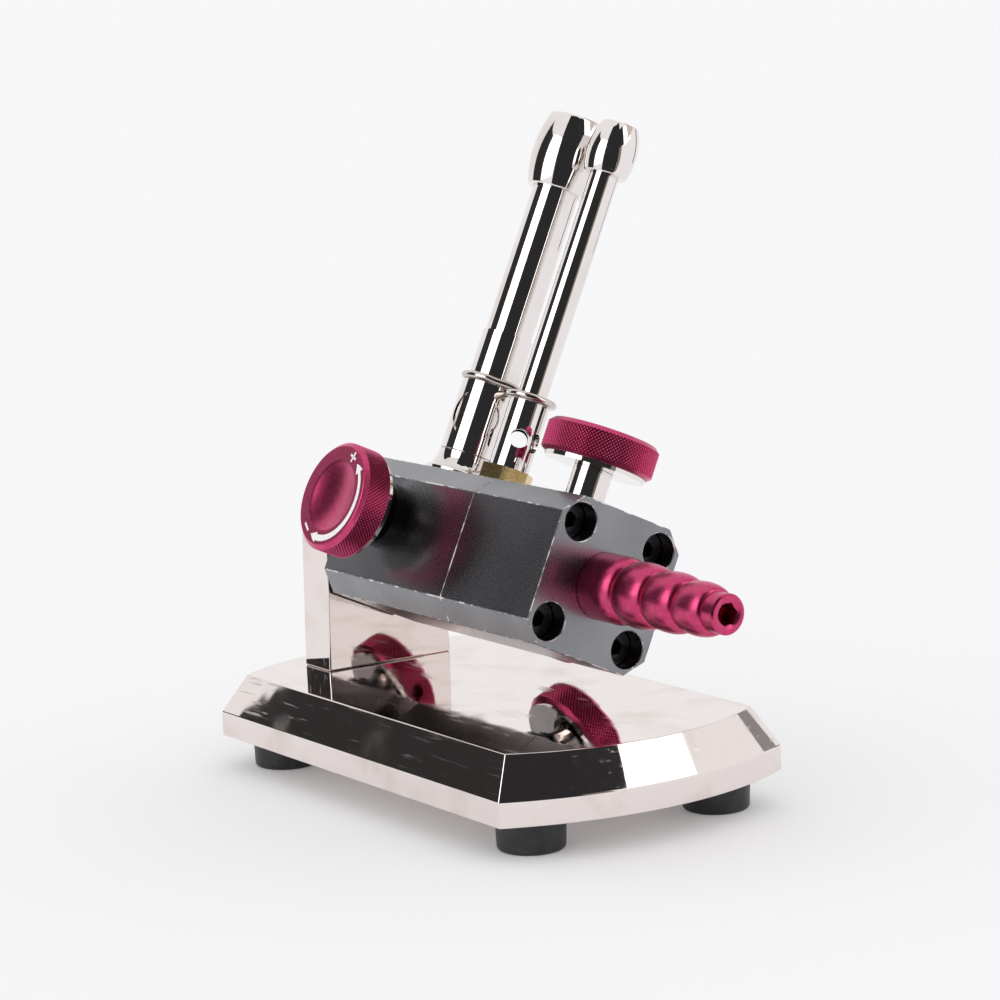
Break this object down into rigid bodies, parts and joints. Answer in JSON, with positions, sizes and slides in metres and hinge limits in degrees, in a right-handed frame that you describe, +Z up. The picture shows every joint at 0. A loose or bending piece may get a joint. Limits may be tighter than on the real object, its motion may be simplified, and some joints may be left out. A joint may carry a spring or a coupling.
{
  "type": "twin-tube bench gas burner",
  "caption": "Tilting bench gas burner: a main tube and a pilot tube on one valve bar with knurled knobs and a hose barb, on a weighted bevelled base.",
  "frame": {"origin": "on the bench, at the middle of the whole burner's outline as it stands leaned back", "axes": "+X along the valve bar towards the hose barb, +Z up, +Y towards the side that the tubes lean to"},
  "size_m": [0.14, 0.0784, 0.1349],
  "materials": {
    "mirror_nickel": "mirror-polished nickel plate",
    "turned_steel": "fine turned, bright",
    "black_screw": "black oxide, oiled",
    "foot_rubber": "matt black rubber",
    "seal_rubber": "smooth black nitrile",
    "bush_bronze": "turned bronze",
    "friction_fibre": "pressed fibre",
    "grey_anodised": "satin dark grey anodised",
    "magenta_anodised": "satin magenta anodised",
    "black_anodised": "black anodised",
    "brass": "machined brass"
  },
  "bodies": {
    "stand": {"base_plate": "mirror_nickel", "pivot_post": "mirror_nickel", "post_screws": "black_screw", "rubber_feet": "foot_rubber", "foot_screws": "turned_steel", "pivot_bush": "bush_bronze", "friction_washer": "friction_fibre"},
    "head": {"pivot_spacer": "turned_steel", "pivot_shaft": "turned_steel", "spring_washer": "turned_steel", "lock_nut": "turned_steel", "rear_block": "grey_anodised", "front_block": "grey_anodised", "block_seal": "seal_rubber", "cap_screws": "black_screw", "hose_barb": "magenta_anodised", "barb_seal": "seal_rubber", "main_gland": "black_anodised", "main_gland_seal": "seal_rubber", "pilot_gland": "black_anodised", "pilot_gland_seal": "seal_rubber", "stop_gland": "mirror_nickel", "stop_gland_seal": "seal_rubber", "main_jet": "brass", "main_flange": "mirror_nickel", "main_tube": "mirror_nickel", "main_sleeve": "mirror_nickel", "main_cup": "mirror_nickel", "pilot_adapter": "brass", "pilot_jet": "brass", "pilot_tube": "mirror_nickel", "pilot_cup": "mirror_nickel", "tube_clip": "mirror_nickel"},
    "main_skirt_carrier": {"main_skirt": "mirror_nickel"},
    "main_valve": {"main_knob": "magenta_anodised", "main_spindle": "mirror_nickel", "main_set_screw": "black_screw"},
    "pilot_skirt_carrier": {"pilot_skirt": "mirror_nickel"},
    "pilot_valve": {"pilot_knob": "magenta_anodised", "pilot_spindle": "mirror_nickel", "pilot_set_screw": "black_screw"},
    "stop_skirt_carrier": {"stop_skirt": "mirror_nickel"},
    "stop_valve": {"stop_knob": "magenta_anodised", "stop_spindle": "mirror_nickel", "stop_set_screw": "black_screw"},
    "main_air_collar": {"main_collar": "mirror_nickel"},
    "pilot_air_collar": {"pilot_collar": "mirror_nickel"}
  },
  "joints": [
    {"name": "head_tilt", "type": "hinge", "parent": "stand", "child": "head", "pos_m": [-0.05752, -0.00548, 0.0468], "axis": [1, 0, 0], "range_deg": [-2, 60]},
    {"name": "main_needle_lift", "type": "slide", "parent": "head", "child": "main_skirt_carrier", "axis": [0, -0.9092, 0.4163], "range_m": [0, 0.00112]},
    {"name": "main_knob_turn", "type": "hinge", "parent": "main_skirt_carrier", "child": "main_valve", "pos_m": [-0.02672, -0.0245, 0.05836], "axis": [0, -0.9092, 0.4163], "range_deg": [0, 540]},
    {"name": "pilot_needle_lift", "type": "slide", "parent": "head", "child": "pilot_skirt_carrier", "axis": [0, 0.9092, -0.4163], "range_m": [0, 0.00112]},
    {"name": "pilot_knob_turn", "type": "hinge", "parent": "pilot_skirt_carrier", "child": "pilot_valve", "pos_m": [-0.01162, 0.01426, 0.0349], "axis": [0, 0.9092, -0.4163], "range_deg": [0, 540]},
    {"name": "stop_needle_lift", "type": "slide", "parent": "head", "child": "stop_skirt_carrier", "axis": [0, 0.4163, 0.9092], "range_m": [0, 0.00112]},
    {"name": "stop_knob_turn", "type": "hinge", "parent": "stop_skirt_carrier", "child": "stop_valve", "pos_m": [0.01628, 0.00409, 0.06771], "axis": [0, 0.4163, 0.9092], "range_deg": [0, 540]},
    {"name": "main_air_turn", "type": "hinge", "parent": "head", "child": "main_air_collar", "pos_m": [-0.02672, 0.00626, 0.07244], "axis": [0, 0.4163, 0.9092], "range_deg": [0, 100]},
    {"name": "pilot_air_turn", "type": "hinge", "parent": "head", "child": "pilot_air_collar", "pos_m": [-0.01162, 0.00509, 0.06989], "axis": [0, 0.4163, 0.9092], "range_deg": [-90, 0]}
  ],
  "couplings": [
    {"joint": "main_knob_turn", "follows": "main_needle_lift", "rad_per_m": 8377.6},
    {"joint": "pilot_knob_turn", "follows": "pilot_needle_lift", "rad_per_m": 8377.6},
    {"joint": "stop_knob_turn", "follows": "stop_needle_lift", "rad_per_m": 8377.6}
  ]
}
